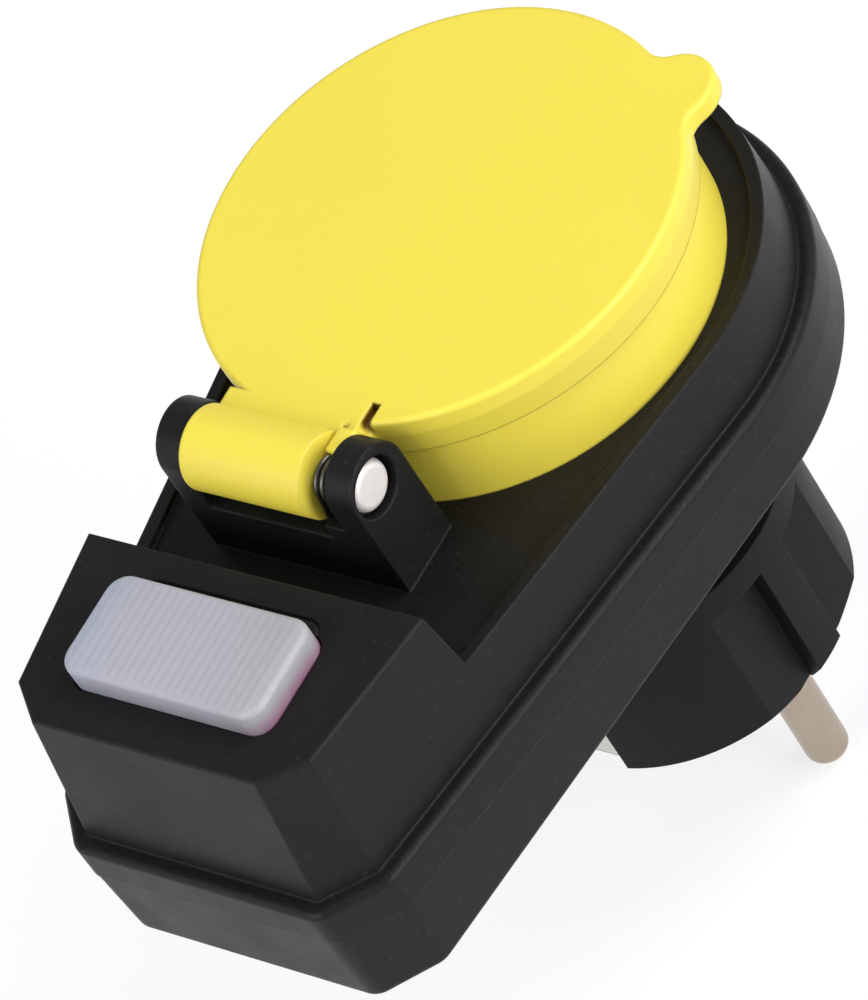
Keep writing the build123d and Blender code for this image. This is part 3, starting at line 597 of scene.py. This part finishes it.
def makeBoot(values):
    low, high = (Vector(corner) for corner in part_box("switch_boot"))
    brim = Vector((values["brim"], values["brim"], 0))
    capLow, capHigh = low + brim, high - brim
    size = capHigh - capLow
    mesh = bmesh.new()
    addBox(mesh, capLow, capHigh)
    upright = [edge for edge in mesh.edges if abs((edge.verts[0].co - edge.verts[1].co).z) > size.z / 2]
    bevelEdges(mesh, upright, values["cornerRadius"], values["cornerSteps"])
    top = [edge for edge in mesh.edges if all(vert.co.z > high.z - hair for vert in edge.verts)]
    bevelEdges(mesh, top, values["topRadius"], values["topSteps"])
    # Fine waves across the top: cut several times for each rib, then lifted
    pitch = (size.x - 2 * values["ribMargin"]) / values["ribCount"]
    first = capLow.x + values["ribMargin"]
    for number in range(values["cutsPerRib"] * values["ribCount"] + 1):
        whole = mesh.verts[:] + mesh.edges[:] + mesh.faces[:]
        cut = (first + number * pitch / values["cutsPerRib"], 0, 0)
        bmesh.ops.bisect_plane(mesh, geom=whole, dist=weld, plane_co=cut, plane_no=(1, 0, 0))
    for vert in mesh.verts:
        ribs = (vert.co.x - first) / pitch
        if vert.co.z > high.z - hair and 0 < ribs < values["ribCount"]:
            vert.co.z += values["ribRise"] * (1 - math.cos(2 * math.pi * ribs)) / 2
    addBox(mesh, low, Vector((high.x, high.y, low.z + values["brimThickness"])))
    piece = finishPiece("ribbedBoot", mesh, makeBootMaterial(bootSkin, capLow, capHigh))
    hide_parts("switch_boot")
    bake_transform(piece)


makeBoot(boot)

spring = {
    "wire": 0.6 * mm, "coilDia": 4.4 * mm, "turns": 2.25, "pitch": 0.75 * mm, "stepsPerTurn": 40, "sides": 14,
    "legLength": 3.8 * mm, "legDrop": 6.6,   # degrees
    "footLength": 3.2 * mm, "tipRound": 0.12 * mm, "tipSteps": 2,
}


def makeSpring(values):
    # A left-hand coil round the hinge pin: its leg lies on the lid, its foot points down at the bridge
    hinge = jointPlace("lid_hinge")
    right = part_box("lid_spring")[1][0]
    radius, wireRadius = values["coilDia"] / 2, values["wire"] / 2
    length = values["turns"] * values["pitch"]
    drop = math.radians(values["legDrop"])
    upward = Vector((0, math.sin(drop), math.cos(drop)))
    backward = Vector((0, math.cos(drop), -math.sin(drop)))
    start = Vector((right - wireRadius, hinge.y, hinge.z)) + upward * radius
    steps = int(values["turns"] * values["stepsPerTurn"])
    mesh = bmesh.new()
    ring = bmesh.ops.create_circle(mesh, segments=values["sides"], radius=wireRadius, cap_ends=False)
    place = Matrix.Translation(start) @ Matrix.Rotation(math.pi / 2 - drop, 4, "X")
    bmesh.ops.transform(mesh, matrix=place, verts=ring["verts"])
    ringEdges = list(mesh.edges)
    spun = bmesh.ops.spin(mesh, geom=ringEdges, cent=hinge, axis=(1, 0, 0), dvec=(-length / steps, 0, 0),
                          angle=values["turns"] * 2 * math.pi, steps=steps)
    lastEdges = list(filter(isEdge, spun["geom_last"]))
    leg, foot = backward * values["legLength"], -upward * values["footLength"]
    for edges, along in ((ringEdges, leg), (lastEdges, foot)):
        drawn = bmesh.ops.extrude_edge_only(mesh, edges=edges)["geom"]
        bmesh.ops.translate(mesh, vec=along, verts=list(filter(isVert, drawn)))
        rim = [item for item in drawn if isEdge(item) and len(item.link_faces) == 1]
        tip = bmesh.ops.contextual_create(mesh, geom=rim)["faces"]
        bevelEdges(mesh, list(tip[0].edges), values["tipRound"], values["tipSteps"])
    piece = finishPiece("coilSpring", mesh, springWire)
    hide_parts("lid_spring")
    start, end = (Vector((x, hinge.y, hinge.z)) for x in (right - length, right - values["wire"]))
    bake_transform(piece)


makeSpring(spring)

hood = {
    "width": 2.1 * mm, "front": 1.1 * mm, "length": 3.3 * mm, "rise": 0.8 * mm,
    "depth": 0.6 * mm, "lean": 0.5 * mm, "round": 0.3 * mm, "roundSteps": 4,
}


def makeHood(values):
    # The raised lug on the lid that covers the spring's leg as far as the notch
    hinge = jointPlace("lid_hinge")
    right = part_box("lid_spring")[1][0]
    lidTop = hinge.z + lidAboveHinge
    low = Vector((right - values["width"], hinge.y + values["front"], lidTop - values["depth"]))
    high = Vector((right, low.y + values["length"], lidTop + values["rise"]))
    mesh = bmesh.new()
    addBox(mesh, low, high)
    back = [vert for vert in mesh.verts if vert.co.y > (low.y + high.y) / 2 and vert.co.z > lidTop]
    bmesh.ops.translate(mesh, vec=(0, -values["lean"], 0), verts=back)
    top = [edge for edge in mesh.edges if any(vert.co.z > lidTop for vert in edge.verts)]
    bevelEdges(mesh, top, values["round"], values["roundSteps"])
    piece = finishPiece("springHood", mesh, yellowPlastic)
    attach(piece, "lid")


makeHood(hood)


def makeFloor(values):
    material, wires, shader = startMaterial("paleFloor")
    place = wires.add("ShaderNodeTexCoord").outputs["Object"]
    cloud = wires.add("ShaderNodeTexNoise", Vector=place, Scale=values["floorCloud"]).outputs["Fac"]
    darker = tuple(channel * values["floorShade"] for channel in values["floorColor"])
    wires.feed(shader, "Base Color", wires.mix(cloud, darker, values["floorColor"]))
    shader.inputs["Roughness"].default_value = values["floorRough"]
    shader.inputs["Specular IOR Level"].default_value = values["floorGloss"]
    rays = wires.add("ShaderNodeLightPath").outputs
    mirrored = wires.maths("MAXIMUM", rays["Is Glossy Ray"], rays["Is Transmission Ray"])
    seen = wires.maths("MAXIMUM", rays["Is Camera Ray"], mirrored)
    shader.inputs["Emission Color"].default_value = opaque(values["worldColor"])
    wires.feed(shader, "Emission Strength", wires.times(seen, values["floorGlow"]))
    mesh = bmesh.new()
    bmesh.ops.create_grid(mesh, x_segments=1, y_segments=1, size=values["floorSize"] / 2)
    bmesh.ops.translate(mesh, vec=(0, 0, cadBox[0].z - values["floorDrop"]), verts=mesh.verts)
    floor = placeMesh("floor", mesh, material)


makeFloor(studio)

print("stage: done")
